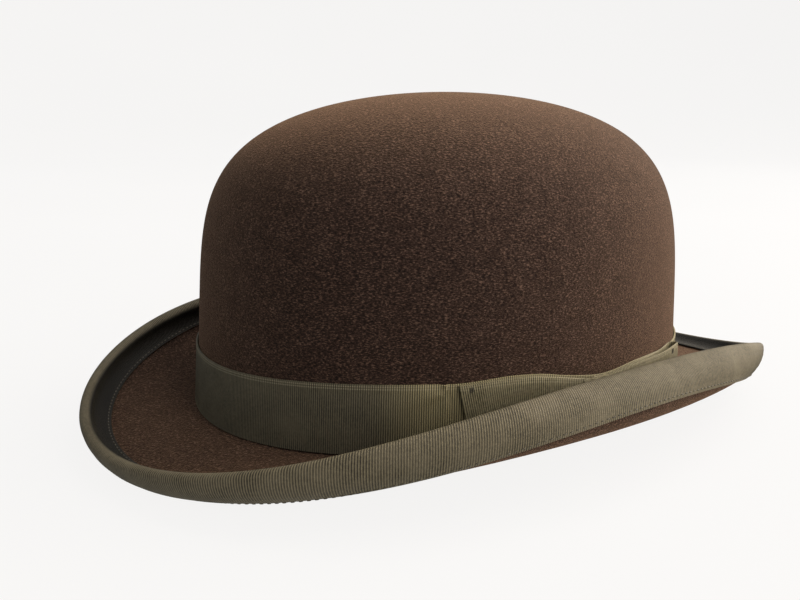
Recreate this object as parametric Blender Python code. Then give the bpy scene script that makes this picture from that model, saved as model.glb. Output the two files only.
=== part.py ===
"""A bowler hat, one named object for each piece that it is blocked, sewn or tied from.

Metres, +Z up. The front of the hat points along -Y and the wearer's left side, with the bow, along +X.
Every piece that goes round the head is one closed section, swept round the same oval in the same steps,
so that the felt, the ribbons, the leather and the lining nest in each other with an even gap.
"""

import math

import bpy
import numpy as np

MM = 0.001

# The head oval and the crown, measured on the felt's outer face.
CROWN_HALF_LENGTH = 103 * MM
CROWN_HALF_WIDTH = 85.7 * MM
CROWN_HEIGHT = 115.2 * MM
FRONT_SQUARENESS = 5.8
SIDE_SQUARENESS = 4.9
WAIST = 0.02
CROWN_LEAN = 1.3 * MM
SIDE_LIFT = 3.6 * MM
FELT_THICKNESS = 2.4 * MM

# The brim, measured on the outer face of its binding, from the crown to the edge.
BRIM_FRONT = 49.5 * MM
BRIM_SIDE = 44.7 * MM
CURL_RADIUS = 10.6 * MM
FRONT_SLOPES = math.radians(-8.9), math.radians(88.0)
SIDE_SLOPES = math.radians(28.2), math.radians(174.5)
BACK_SLOPES = math.radians(-5.9), math.radians(59.3)
REST_FACET = math.radians(4)

# Ribbons and trim.
GAP = 0.3 * MM
RIBBON = 0.5 * MM
FOLD_GAP = 0.45 * MM
BINDING_WIDTH = 16.5 * MM
BINDING_WIDTH_FRONT = 17.6 * MM
BAND_HEIGHT = 23.7 * MM
BAND_THICKNESS = 0.6 * MM
BAND_FOOT_FRONT = 0.5 * MM
BAND_FOOT_SIDE = 1.5 * MM
BOW_CENTRE = math.radians(84)
BOW_HALF_ANGLE = math.radians(28.3)
BOW_HEIGHT = 19.2 * MM
BOW_PINCH = 4.6 * MM
BOW_PUFF = 2.6 * MM
BOW_TOP = BAND_HEIGHT - 0.4 * MM
BOW_PINCH_SHARE = 0.28
KNOT_HALF_ANGLE = math.radians(3.4)
KNOT_SHARE = 0.15
STITCH = 0.5 * MM
TACK_SHARE = 0.93
TACK_HEIGHT = 3 * MM

# Inside the crown.
LINING = 0.4 * MM
LINING_FOOT = 8 * MM
LEATHER = 0.9 * MM
LEATHER_FOOT = -0.5 * MM
LEATHER_HEIGHT = 46 * MM
REED_RADIUS = 0.8 * MM
TAPE = 0.3 * MM
TAPE_HEIGHT = 7.5 * MM
REED_HEIGHT = -1.8 * MM
STITCH_HEIGHT = 3 * MM
SMALL_BOW_HEIGHT = 8 * MM
SMALL_BOW_HALF_ANGLE = math.radians(8)
PIPING_RADIUS = 0.6 * MM
SHIELD = 0.3 * MM

# How finely the shapes are divided.
STEPS = 48
CROWN_ROWS = 10
TIP_ROW = 7
SHIELD_ROW = 8
CURL_ROWS = 8
BINDING_ROWS = 8
BOW_STATIONS = 15
ROUND_SIDES = 6
SEAM_ROWS = 0.04

# What a layer inside the crown keeps free, counted inwards from the felt's outer face.
TAPE_INSET = FELT_THICKNESS + GAP
REED_INSET = TAPE_INSET + TAPE + GAP + REED_RADIUS
LINING_INSET = FELT_THICKNESS + GAP
LEATHER_INSET = LINING_INSET + LINING + GAP
SHIELD_INSET = LINING_INSET + LINING + GAP
PIPING_INSET = LINING_INSET + LINING + GAP + PIPING_RADIUS

# What stands on the crown's wall, counted outwards from the felt's outer face.
BOW_BACK = GAP + BAND_THICKNESS + GAP + RIBBON + GAP + RIBBON / 2
BOW_FRONT = BOW_BACK + RIBBON + GAP
TACK_OUT = BOW_FRONT + RIBBON / 2 + BOW_PUFF + GAP

# The half step turns one facet square to the front and one square to the back, where the brim rests.
TURN = (np.arange(STEPS)[:, None] + 0.5) * 2 * math.pi / STEPS


def clear_scene():
    for old in list(bpy.data.objects):
        bpy.data.objects.remove(old)


def around(turn, front, side, back=None):
    """A value that runs smoothly round the hat: front, side, back, and side again."""
    middle = front if back is None else np.where(np.cos(turn) > 0, front, back)
    return middle + (side - middle) * np.sin(turn) ** 2


def points(x, y, z):
    return np.stack(np.broadcast_arrays(x, y, z), axis=-1)


def outward(turn):
    """The direction straight out from the head oval, seen from above."""
    across = np.sin(turn) / CROWN_HALF_WIDTH
    along = -np.cos(turn) / CROWN_HALF_LENGTH
    size = np.hypot(across, along)
    return across / size, along / size


def brim_slopes(turn):
    starts, ends = zip(FRONT_SLOPES, SIDE_SLOPES, BACK_SLOPES)
    return around(turn, *starts), around(turn, *ends)


def brim_outline(turn):
    """The brim's straight run, its two slopes, and how far out and up the centre of its curl lies."""
    start, end = brim_slopes(turn)
    straight = around(turn, BRIM_FRONT, BRIM_SIDE) - CURL_RADIUS * (end - start)
    out = straight * np.cos(start) - CURL_RADIUS * np.sin(start)
    up = straight * np.sin(start) + CURL_RADIUS * np.cos(start)
    return straight, start, end, out, up


BRIM_LAYERS = RIBBON + FOLD_GAP + FELT_THICKNESS


def lowest_drop(turn):
    """How far the brim's lowest facet hangs below the top of the felt at the crown's foot."""
    up = brim_outline(turn)[4]
    return BRIM_LAYERS - up + CURL_RADIUS * math.cos(REST_FACET)


# The crown's foot is a little lower at the back, so that the brim rests level on its front and back.
FRONT_TURN, BACK_TURN = TURN[0, 0], TURN[STEPS // 2, 0]
BACK_LIFT = float(lowest_drop(BACK_TURN) - lowest_drop(FRONT_TURN))


def foot_height(turn):
    """The crown's foot: it rises to the sides, as the brim does."""
    return SIDE_LIFT * np.sin(turn) ** 2 + BACK_LIFT * (1 - np.cos(turn)) / 2


def crown_point(turn, rise, inset=0.0):
    """A point of the crown. rise is its share of the height, and inset how far it lies inside the felt's face.

    A level slice is the head oval times the square root of 1 - rise^n, so the top is a smooth dome and
    a larger n gives squarer shoulders.
    """
    power = 1 / (np.cos(turn) ** 2 / FRONT_SQUARENESS + np.sin(turn) ** 2 / SIDE_SQUARENESS)
    share = np.clip(rise, 0, 1)
    reach = np.sqrt(1 - share**power) * (1 - WAIST * np.sin(math.pi * share))
    x = (CROWN_HALF_WIDTH - inset) * np.sin(turn) * reach
    y = -(CROWN_HALF_LENGTH - inset) * np.cos(turn) * reach + CROWN_LEAN * share**2
    foot = foot_height(turn)
    return points(x, y, foot + (CROWN_HEIGHT - inset - foot) * rise)


def wall_point(turn, height, inset=0.0):
    """A point of the crown's wall at a height above the crown's foot."""
    return crown_point(turn, height / (CROWN_HEIGHT - inset - foot_height(turn)), inset)


def rise_of(row):
    """Rows of the crown, closer together towards the top of the dome."""
    return np.sin(math.pi / 2 * np.asarray(row) / CROWN_ROWS)


def brim_point(turn, before_edge, inset):
    """A point of the brim, at a distance before its edge and an inset from its outer, lower face."""
    straight, start, end, centre_out, centre_up = brim_outline(turn)
    slope = np.maximum(end - before_edge / CURL_RADIUS, start)
    back = np.maximum(before_edge - CURL_RADIUS * (end - start), 0)
    out = centre_out + (CURL_RADIUS - inset) * np.sin(slope) - back * np.cos(start)
    up = centre_up - (CURL_RADIUS - inset) * np.cos(slope) - back * np.sin(start)
    return offset_from_oval(turn, out, up)


def brim_root(turn, out, inset):
    """A point of the brim's straight run, straight out from the oval."""
    start = brim_slopes(turn)[0]
    return offset_from_oval(turn, out, out * np.tan(start) + inset / np.cos(start))


def offset_from_oval(turn, out, up):
    across, along = outward(turn)
    x = CROWN_HALF_WIDTH * np.sin(turn) + across * out
    y = -CROWN_HALF_LENGTH * np.cos(turn) + along * out
    return points(x, y, foot_height(turn) - BRIM_LAYERS + up)


def add_piece(name, vertices, faces, colour, roughness):
    """One solid: its mesh, its faces turned outwards, smooth shading and a plain material."""
    mesh = bpy.data.meshes.new(name)
    mesh.from_pydata(vertices.tolist(), [], faces)
    corners = np.array([vertices[[f[0], f[i], f[i + 1]]] for f in faces for i in range(1, len(f) - 1)])
    if np.linalg.det(corners).sum() < 0:
        mesh.flip_normals()
    mesh.shade_smooth()
    mesh.set_sharp_from_angle(angle=math.radians(50))
    mesh.materials.append(plain_material(name, colour, roughness))
    piece = bpy.data.objects.new(name, mesh)
    bpy.context.collection.objects.link(piece)
    return piece


def plain_material(name, colour, roughness):
    material = bpy.data.materials.new(name)
    material.use_nodes = True
    shader = material.node_tree.nodes["Principled BSDF"]
    shader.inputs["Base Color"].default_value = (*colour, 1)
    shader.inputs["Roughness"].default_value = roughness
    shader.inputs["Metallic"].default_value = 0.0
    return material


def add_ring(name, sections, colour, roughness):
    """Joins each closed section to the next, and the last to the first."""
    count, sides = sections.shape[:2]
    index = np.arange(count * sides).reshape(count, sides)
    after, beside = np.roll(index, -1, axis=0), np.roll(index, -1, axis=1)
    both = np.roll(after, -1, axis=1)
    faces = np.stack([index, beside, both, after], axis=-1).reshape(-1, 4)
    return add_piece(name, sections.reshape(-1, 3), faces.tolist(), colour, roughness)


def add_shell(name, first_pole, rows, last_pole, colour, roughness):
    """Joins rows that run round the hat, and closes the first and the last row on a pole."""
    count, length = rows.shape[1], rows.shape[0]
    index = np.arange(length * count).reshape(length, count)
    after = np.roll(index, -1, axis=1)
    walls = np.stack([index[:-1], index[1:], after[1:], after[:-1]], axis=-1).reshape(-1, 4)
    first, last = length * count, length * count + 1
    faces = walls.tolist()
    faces += [[first, a, b] for a, b in zip(index[0].tolist(), after[0].tolist())]
    faces += [[last, b, a] for a, b in zip(index[-1].tolist(), after[-1].tolist())]
    vertices = np.concatenate([rows.reshape(-1, 3), first_pole, last_pole])
    return add_piece(name, vertices, faces, colour, roughness)


def crown_rows(rows, inset):
    return [crown_point(TURN, rise_of(row), inset)[:, 0] for row in rows]


def pole(inset):
    return crown_point(np.zeros(1), np.ones(1), inset)


def felt_body():
    """Crown and brim are one felt, blocked to shape: from the top down outside, and back up inside."""
    edge = RIBBON + FOLD_GAP
    under, top = edge, edge + FELT_THICKNESS
    _, start, end, _, _ = brim_outline(TURN)
    share = np.linspace(0, 1, CURL_ROWS + 1)
    before_edge = edge + (1 - share) * (CURL_RADIUS * (end - start) - edge)
    rows = crown_rows(range(CROWN_ROWS - 1, 0, -1), 0)
    rows += [brim_root(TURN, 0, top)[:, 0]]
    rows += list(brim_point(TURN, before_edge, top).swapaxes(0, 1))
    rows += list(brim_point(TURN, before_edge[:, ::-1], under).swapaxes(0, 1))
    rows += [brim_root(TURN, -FELT_THICKNESS, under)[:, 0]]
    rows += crown_rows(range(1, CROWN_ROWS), FELT_THICKNESS)
    return add_shell("felt_body", pole(0), np.array(rows), pole(FELT_THICKNESS), (0.035, 0.021, 0.014), 0.9)


def binding_marks():
    """Rows across the binding, as distances before the brim's edge. Two of them hold the facet it rests on."""
    def with_facet(turn, width):
        level = CURL_RADIUS * (brim_slopes(turn)[1] + REST_FACET * np.array([1, -1]))
        rest = np.linspace(level[1], 0, BINDING_ROWS - 2)[1:]
        return np.array([width, *level, *rest])

    front = with_facet(FRONT_TURN, BINDING_WIDTH_FRONT)
    back = with_facet(BACK_TURN, BINDING_WIDTH)
    side = np.linspace(BINDING_WIDTH, 0, BINDING_ROWS)
    return around(TURN, front, side, back)


def brim_binding():
    """A grosgrain ribbon folded over the brim's edge, with a leg on each side of the felt."""
    marks = binding_marks()
    inside = np.maximum(marks, RIBBON)
    insets = 0, BRIM_LAYERS + FOLD_GAP + RIBBON, BRIM_LAYERS + FOLD_GAP, RIBBON
    legs = [brim_point(TURN, row, inset) for row, inset in zip((marks, marks, inside, inside), insets)]
    sections = np.concatenate([legs[0], legs[1][:, ::-1], legs[2], legs[3][:, ::-1]], axis=1)
    return add_ring("brim_binding", sections, (0.12, 0.10, 0.07), 0.7)


def binding_stitching():
    """The line of thread along the binding's free edge, on the brim's upper side."""
    near = binding_marks()[:, :1] - 2 * MM
    low = BRIM_LAYERS + FOLD_GAP + RIBBON + GAP
    square = [(0, 0), (1, 0), (1, 1), (0, 1)]
    sections = [brim_point(TURN, near - a * STITCH, low + b * STITCH) for a, b in square]
    return add_ring("binding_stitching", np.concatenate(sections, axis=1), (0.09, 0.075, 0.05), 0.8)


def crown_band():
    """The grosgrain ribbon round the crown, standing on the brim."""
    foot = around(TURN, BAND_FOOT_FRONT, BAND_FOOT_SIDE)
    heights = np.concatenate([foot, foot * 0 + BAND_HEIGHT / 2, foot * 0 + BAND_HEIGHT], axis=1)
    outer = wall_point(TURN, heights, -GAP - BAND_THICKNESS)
    inner = wall_point(TURN, heights[:, ::-1], -GAP)
    return add_ring("crown_band", np.concatenate([outer, inner], axis=1), (0.055, 0.045, 0.033), 0.75)


def add_strap(name, centre, shares, out, top, bottom, half_angle, thickness, colour, roughness):
    """A closed loop of ribbon that stands on edge along the crown's wall.

    Its stations are shares of the half angle to each side of the centre, and offsets out from the felt.
    top and bottom are the heights of its edges.
    """
    path = np.stack([shares * half_angle * CROWN_HALF_LENGTH, out])
    along = np.roll(path, -1, axis=1) - np.roll(path, 1, axis=1)
    along = along / np.hypot(*along)
    turn_shift = -along[1] * thickness / 2 / CROWN_HALF_LENGTH
    out_shift = along[0] * thickness / 2
    sections = []
    for side, height in ((1, top), (-1, top), (-1, bottom), (1, bottom)):
        turn = centre + shares * half_angle + side * turn_shift
        sections.append(wall_point(turn, height, -(out + side * out_shift)))
    return add_ring(name, np.stack(sections, axis=1), colour, roughness)


def bow_stations(near, far, puff):
    """One layer along the band, the fold at its end, the other layer back, and the other fold."""
    lane = np.linspace(-1, 1, BOW_STATIONS)
    free = np.clip((np.abs(lane) - KNOT_SHARE) / (1 - KNOT_SHARE), 0, 1)
    swell = np.sin(math.pi * free) ** 0.8 + 0.35 * free**2
    front = far + puff * swell
    tip = 1 + (front[-1] - near) / 2 / (BOW_HALF_ANGLE * CROWN_HALF_LENGTH)
    shares = np.concatenate([lane, [tip], lane[::-1], [-tip]])
    middle = (front[-1] + near) / 2
    out = np.concatenate([front, [middle], np.full(BOW_STATIONS, near), [middle]])
    return shares, out


def bow_edges(shares):
    """The heights of the bow's two edges, drawn together at the knot."""
    pinch = BOW_PINCH * np.exp(-((shares / BOW_PINCH_SHARE) ** 2))
    return BOW_TOP - pinch, BOW_TOP - BOW_HEIGHT + pinch


def bow_loop():
    """The flat bow on the wearer's left: one loop of ribbon, pinched at its middle."""
    shares, out = bow_stations(BOW_BACK, BOW_FRONT, BOW_PUFF)
    top, bottom = bow_edges(shares)
    size = BOW_HALF_ANGLE, RIBBON
    return add_strap("bow_loop", BOW_CENTRE, shares, out, top, bottom, *size, (0.1, 0.085, 0.06), 0.7)


def bow_knot():
    """The short ribbon wrapped round the middle of the bow, behind it, over it and under it."""
    top, bottom = bow_edges(np.array([KNOT_HALF_ANGLE / BOW_HALF_ANGLE]))
    middle = (top[0] + bottom[0]) / 2, (BOW_BACK + BOW_FRONT) / 2
    inner = (top[0] - bottom[0]) / 2 + GAP, (BOW_FRONT - BOW_BACK + RIBBON) / 2 + GAP
    sections = []
    for turn in (BOW_CENTRE - KNOT_HALF_ANGLE, BOW_CENTRE + KNOT_HALF_ANGLE):
        for layer in (0, RIBBON):
            half_height, half_depth = inner[0] + layer, inner[1] + layer
            cut = RIBBON / 4 + layer / 2
            corners = rounded_box(half_height, half_depth, cut)
            sections.append(wall_point(turn, middle[0] + corners[0], -(middle[1] + corners[1])))
    order = sections[0], sections[1], sections[3], sections[2]
    return add_ring("bow_knot", np.stack(order, axis=1), (0.1, 0.085, 0.06), 0.7)


def rounded_box(half_height, half_depth, cut):
    """Eight corners of an upright box with its corners cut off, as heights and depths."""
    heights = np.array([1, 1, -1, -1]) * half_height
    depths = np.array([-1, 1, 1, -1]) * half_depth
    short_heights = np.array([1, 1, -1, -1]) * (half_height - cut)
    short_depths = np.array([-1, 1, 1, -1]) * (half_depth - cut)
    first = np.stack([heights, short_depths])
    second = np.stack([short_heights, depths])
    corners = np.empty((2, 8))
    for k in range(4):
        pair = (second[:, k], first[:, k]) if k % 2 == 0 else (first[:, k], second[:, k])
        corners[:, 2 * k], corners[:, 2 * k + 1] = pair
    return corners


def tack(name, share):
    """A bar of thread that holds the end of the bow, across its front layer near the upper edge."""
    turn = BOW_CENTRE + share * BOW_HALF_ANGLE + np.array([-1, 1]) * STITCH / 2 / CROWN_HALF_LENGTH
    out = TACK_OUT + np.array([0, STITCH])
    sections = []
    for height in (BOW_TOP - TACK_HEIGHT, BOW_TOP):
        square = [(0, 0), (1, 0), (1, 1), (0, 1)]
        sections.append(np.array([wall_point(turn[a], height, -out[b]) for a, b in square]))
    vertices = np.concatenate(sections)
    sides = [[k, (k + 1) % 4, (k + 1) % 4 + 4, k + 4] for k in range(4)]
    return add_piece(name, vertices, sides + [[3, 2, 1, 0], [4, 5, 6, 7]], (0.09, 0.075, 0.05), 0.8)


def sweatband():
    """The leather band that sits on the head, turned up inside the crown."""
    outer = [wall_point(TURN, np.array([LEATHER_FOOT]), LEATHER_INSET)]
    outer += [crown_point(TURN, rise_of([2]), LEATHER_INSET)]
    outer += [wall_point(TURN, np.array([LEATHER_HEIGHT]), LEATHER_INSET)]
    inset = LEATHER_INSET + LEATHER
    inner = [wall_point(TURN, np.array([LEATHER_HEIGHT]), inset)]
    inner += [crown_point(TURN, rise_of([2]), inset)]
    inner += [wall_point(TURN, np.array([LEATHER_FOOT]), inset)]
    return add_ring("sweatband", np.concatenate(outer + inner, axis=1), (0.16, 0.075, 0.03), 0.45)


def sweatband_reed():
    """The plastic reed along the leather's lower edge, which keeps the oval."""
    angle = np.arange(ROUND_SIDES) * 2 * math.pi / ROUND_SIDES
    height = REED_HEIGHT + REED_RADIUS * np.sin(angle)
    sections = wall_point(TURN, height, REED_INSET + REED_RADIUS * np.cos(angle))
    return add_ring("sweatband_reed", sections, (0.5, 0.48, 0.42), 0.5)


def reed_tape():
    """The tape that wraps the reed and is sewn up behind the leather."""
    angle = np.linspace(math.pi, 2 * math.pi, 4)
    outer, inner = REED_RADIUS + GAP + TAPE, REED_RADIUS + GAP
    wrap = [(REED_HEIGHT + outer * np.sin(angle), REED_INSET + outer * np.cos(angle))]
    wrap += [(REED_HEIGHT + inner * np.sin(angle[::-1]), REED_INSET + inner * np.cos(angle[::-1]))]
    heights = np.concatenate([[TAPE_HEIGHT], wrap[0][0], wrap[1][0], [TAPE_HEIGHT]])
    insets = np.concatenate([[REED_INSET - outer], wrap[0][1], wrap[1][1], [REED_INSET - inner]])
    return add_ring("reed_tape", wall_point(TURN, heights, insets), (0.2, 0.17, 0.13), 0.8)


def sweatband_stitching():
    """The thread that joins the leather to the reed tape."""
    heights = STITCH_HEIGHT + np.array([0, STITCH, STITCH, 0])
    insets = LEATHER_INSET + LEATHER + GAP + np.array([0, 0, STITCH, STITCH])
    return add_ring("sweatband_stitching", wall_point(TURN, heights, insets), (0.3, 0.2, 0.1), 0.7)


def sweatband_bow():
    """The small ribbon bow over the leather's back seam."""
    lane = np.linspace(-1, 1, 7)
    near = -(LEATHER_INSET + LEATHER + GAP + STITCH + GAP + RIBBON / 2)
    front = near - RIBBON - GAP - 1.2 * MM * np.abs(lane)
    shares = np.concatenate([lane, [1.1], lane[::-1], [-1.1]])
    tip = (front[-1] + near) / 2
    out = np.concatenate([np.full(7, near), [tip], front[::-1], [tip]])
    pinch = SMALL_BOW_HEIGHT / 4 * np.exp(-((shares / BOW_PINCH_SHARE) ** 2))
    top = STITCH_HEIGHT + SMALL_BOW_HEIGHT - pinch
    bottom = STITCH_HEIGHT + pinch
    size = SMALL_BOW_HALF_ANGLE, RIBBON
    return add_strap("sweatband_bow", math.pi, shares, out, top, bottom, *size, (0.03, 0.025, 0.02), 0.6)


def lining_side():
    """The satin lining of the crown's wall."""
    rows = np.append(np.arange(2, TIP_ROW), TIP_ROW - SEAM_ROWS)
    outer = [wall_point(TURN, np.array([LINING_FOOT]), LINING_INSET)]
    outer += [crown_point(TURN, rise_of(rows), LINING_INSET)]
    inset = LINING_INSET + LINING
    inner = [crown_point(TURN, rise_of(rows[::-1]), inset)]
    inner += [wall_point(TURN, np.array([LINING_FOOT]), inset)]
    return add_ring("lining_side", np.concatenate(outer + inner, axis=1), (0.35, 0.27, 0.17), 0.35)


def dome(name, first_row, inset, thickness, colour, roughness):
    """A thin oval that follows the inside of the crown's top."""
    rows = np.append(np.arange(CROWN_ROWS - 1, math.floor(first_row), -1), first_row)
    outer = crown_rows(rows, inset)
    inner = crown_rows(rows[::-1], inset + thickness)
    return add_shell(name, pole(inset), np.array(outer + inner), pole(inset + thickness), colour, roughness)


def lining_tip():
    """The oval of lining under the crown's top."""
    return dome("lining_tip", TIP_ROW + SEAM_ROWS, LINING_INSET, LINING, (0.35, 0.27, 0.17), 0.35)


def tip_shield():
    """The clear oval patch that keeps hair grease off the lining's tip."""
    return dome("tip_shield", SHIELD_ROW, SHIELD_INSET, SHIELD, (0.75, 0.75, 0.7), 0.1)


def lining_piping():
    """The cord sewn into the seam between the lining's wall and its tip."""
    angle = np.arange(ROUND_SIDES) * 2 * math.pi / ROUND_SIDES
    rise = rise_of(TIP_ROW + SEAM_ROWS * np.sin(angle))
    sections = crown_point(TURN, rise, PIPING_INSET + PIPING_RADIUS * np.cos(angle))
    return add_ring("lining_piping", sections, (0.25, 0.18, 0.1), 0.4)


def stand_on_origin(pieces):
    """Parents the hat to an empty that puts its lowest facets at Z = 0 and its middle over the origin."""
    corners = np.array([vertex.co for piece in pieces for vertex in piece.data.vertices])
    middle = (corners.min(axis=0) + corners.max(axis=0)) / 2
    stand = bpy.data.objects.new("hat", None)
    stand.location = -middle[0], -middle[1], -corners[:, 2].min()
    bpy.context.collection.objects.link(stand)
    for piece in pieces:
        piece.parent = stand


def main():
    clear_scene()
    pieces = [felt_body(), brim_binding(), binding_stitching(), crown_band()]
    pieces += [bow_loop(), bow_knot(), tack("bow_tack_front", -TACK_SHARE), tack("bow_tack_back", TACK_SHARE)]
    pieces += [sweatband(), sweatband_reed(), reed_tape(), sweatband_stitching(), sweatband_bow()]
    pieces += [lining_side(), lining_tip(), lining_piping(), tip_shield()]
    stand_on_origin(pieces)


main()
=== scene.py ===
# %% [markdown]
# # A bowler hat
# A bowler is one piece of stiffened fur felt, blocked over an oval former into a dome with a curled brim.
# A grosgrain ribbon goes round the crown and is tied in a flat bow on the wearer's left, a wider ribbon
# binds the brim's edge, and a leather sweatband and a satin lining are sewn inside. This file makes the
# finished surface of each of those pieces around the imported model, which gives every size and place.

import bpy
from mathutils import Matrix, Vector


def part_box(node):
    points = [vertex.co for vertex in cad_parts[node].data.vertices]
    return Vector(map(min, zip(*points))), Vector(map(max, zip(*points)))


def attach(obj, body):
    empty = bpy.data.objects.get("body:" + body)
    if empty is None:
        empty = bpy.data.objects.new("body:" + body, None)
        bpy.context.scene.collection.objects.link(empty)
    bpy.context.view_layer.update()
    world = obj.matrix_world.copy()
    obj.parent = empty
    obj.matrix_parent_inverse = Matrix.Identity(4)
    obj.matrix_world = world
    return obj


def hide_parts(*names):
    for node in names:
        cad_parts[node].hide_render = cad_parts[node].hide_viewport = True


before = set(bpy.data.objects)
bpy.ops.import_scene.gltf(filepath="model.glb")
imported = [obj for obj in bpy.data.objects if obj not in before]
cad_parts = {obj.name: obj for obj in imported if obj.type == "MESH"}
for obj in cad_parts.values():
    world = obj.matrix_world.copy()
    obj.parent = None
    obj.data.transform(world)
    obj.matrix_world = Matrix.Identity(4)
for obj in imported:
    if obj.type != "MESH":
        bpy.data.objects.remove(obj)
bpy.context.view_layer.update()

# %% Modules
import math

import bmesh
import bpy
import numpy as np
from mathutils import Matrix

MM = 0.001
random = np.random.default_rng(7)

# %% [markdown]
# ## The sizes of the hat
# Every piece follows the same head oval, so these few numbers place all of them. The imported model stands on
# the floor with its middle over the origin. Two of its boxes find the crown: the ribbon round the crown
# gives the oval's middle, and the top of the felt, less the crown's height, gives the crown's foot.

# %% Sizes
CROWN_HALF_LENGTH, CROWN_HALF_WIDTH, CROWN_HEIGHT = 103 * MM, 85.7 * MM, 115.2 * MM
FRONT_SQUARENESS, SIDE_SQUARENESS = 5.8, 4.9
WAIST, CROWN_LEAN, SIDE_LIFT = 0.02, 1.3 * MM, 3.6 * MM
BRIM_FRONT, BRIM_SIDE, CURL_RADIUS = 49.5 * MM, 44.7 * MM, 10.6 * MM
START_SLOPES = [math.radians(a) for a in (-8.9, 28.2, -5.9)]
END_SLOPES = [math.radians(a) for a in (88.0, 174.5, 59.3)]
FELT, RIBBON, FOLD_GAP, GAP = 2.4 * MM, 0.5 * MM, 0.45 * MM, 0.3 * MM
FELT_UNDER = RIBBON + FOLD_GAP
FELT_TOP = FELT_UNDER + FELT

band_low, band_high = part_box("crown_band")
MIDDLE_Y = (band_low.y + band_high.y) / 2
FOOT_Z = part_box("felt_body")[1].z - CROWN_HEIGHT
print(f"the crown's middle is at y = {MIDDLE_Y:.4f} m, and its foot {FOOT_Z:.4f} m above the floor")

# %% [markdown]
# ## The shape as formulas
# A place on the hat is a function of two numbers: the turn round the head, from the front over the wearer's
# left side, and a height on the crown or a distance on the brim. Whole arrays go through these functions
# at once, and each returns points in metres.

# %% The oval and what changes along it
def points(x, y, z):
    return np.stack(np.broadcast_arrays(x, y, z), axis=-1)


def around(turn, front, side, back=None):
    """middle + (side - middle) * sin^2(turn), where middle is the front's value, or the back's behind."""
    middle = front if back is None else np.where(np.cos(turn) > 0, front, back)
    return middle + (side - middle) * np.sin(turn) ** 2


def outward(turn):
    """The oval's normal seen from above: (sin / half width, -cos / half length), divided by its length."""
    across, along = np.sin(turn) / CROWN_HALF_WIDTH, -np.cos(turn) / CROWN_HALF_LENGTH
    size = np.hypot(across, along)
    return across / size, along / size


def brim_outline(turn):
    """The brim's section is a straight run at the start slope and then an arc up to the end slope.
    Returns the run's length, both slopes, and how far out and up the arc's centre lies."""
    start, end = around(turn, *START_SLOPES), around(turn, *END_SLOPES)
    straight = around(turn, BRIM_FRONT, BRIM_SIDE) - CURL_RADIUS * (end - start)
    out = straight * np.cos(start) - CURL_RADIUS * np.sin(start)
    up = straight * np.sin(start) + CURL_RADIUS * np.cos(start)
    return straight, start, end, out, up


BACK_LIFT = float(brim_outline(0.0)[4] - brim_outline(math.pi)[4])


def foot_height(turn):
    """The crown's foot rises towards the sides, and a little at the back, so that the brim lies level."""
    return FOOT_Z + SIDE_LIFT * np.sin(turn) ** 2 + BACK_LIFT * (1 - np.cos(turn)) / 2


print(f"the back of the crown's foot is {BACK_LIFT / MM:.2f} mm off the front's level")

# %% The crown and the brim
def crown_point(turn, rise, inset=0.0):
    """The oval times sqrt(1 - rise^n), drawn in by a slight waist, and lifted by rise times the crown's
    height. A larger n is squarer."""
    power = 1 / (np.cos(turn) ** 2 / FRONT_SQUARENESS + np.sin(turn) ** 2 / SIDE_SQUARENESS)
    share = np.clip(rise, 0, 1)
    reach = np.sqrt(1 - share**power) * (1 - WAIST * np.sin(math.pi * share))
    x = (CROWN_HALF_WIDTH - inset) * np.sin(turn) * reach
    y = MIDDLE_Y - (CROWN_HALF_LENGTH - inset) * np.cos(turn) * reach + CROWN_LEAN * share**2
    foot = foot_height(turn)
    return points(x, y, foot + (FOOT_Z + CROWN_HEIGHT - inset - foot) * rise)


def wall_point(turn, height, inset=0.0):
    """A point at a height above the crown's foot. The inset is counted inwards from the felt's outer face."""
    return crown_point(turn, height / (FOOT_Z + CROWN_HEIGHT - inset - foot_height(turn)), inset)


def off_oval(turn, out, up):
    across, along = outward(turn)
    x = CROWN_HALF_WIDTH * np.sin(turn) + across * out
    y = MIDDLE_Y - CROWN_HALF_LENGTH * np.cos(turn) + along * out
    return points(x, y, foot_height(turn) - FELT_TOP + up)


def brim_point(turn, before_edge, inset):
    """A point at a distance before the brim's edge, along the arc and then the straight run.
    The inset is counted from the binding's outer, lower face."""
    straight, start, end, centre_out, centre_up = brim_outline(turn)
    slope = np.maximum(end - before_edge / CURL_RADIUS, start)
    back = np.maximum(before_edge - CURL_RADIUS * (end - start), 0)
    out = centre_out + (CURL_RADIUS - inset) * np.sin(slope) - back * np.cos(start)
    up = centre_up - (CURL_RADIUS - inset) * np.cos(slope) - back * np.sin(start)
    return off_oval(turn, out, up)


def brim_root(turn, out, inset):
    """A point of the straight run at a level distance out from the oval."""
    start = around(turn, *START_SLOPES)
    return off_oval(turn, out, out * np.tan(start) + inset / np.cos(start))


def bend(first, corner, last, steps):
    """A rounded corner: (1 - s)^2 first + 2 s (1 - s) corner + s^2 last, for s from 0 to 1."""
    s = np.linspace(0, 1, steps)[:, None, None]
    return (1 - s) ** 2 * first + 2 * s * (1 - s) * corner + s**2 * last


def smooth(low, high, value):
    """0 below low, 1 above high, and 3 s^2 - 2 s^3 in between."""
    s = np.clip((value - low) / (high - low), 0, 1)
    return s * s * (3 - 2 * s)


def ring(count):
    return np.arange(count)[None, :] * 2 * math.pi / count


def even_ring(path, count):
    """Turns that cut a closed path into equal lengths: the running length, read backwards."""
    turn = np.linspace(0, 2 * math.pi, 4001)
    length = np.concatenate([[0], np.cumsum(np.linalg.norm(np.diff(path(turn), axis=0), axis=1))])
    return np.interp(np.arange(count) / count * length[-1], length, turn)[None, :], float(length[-1])


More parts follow.
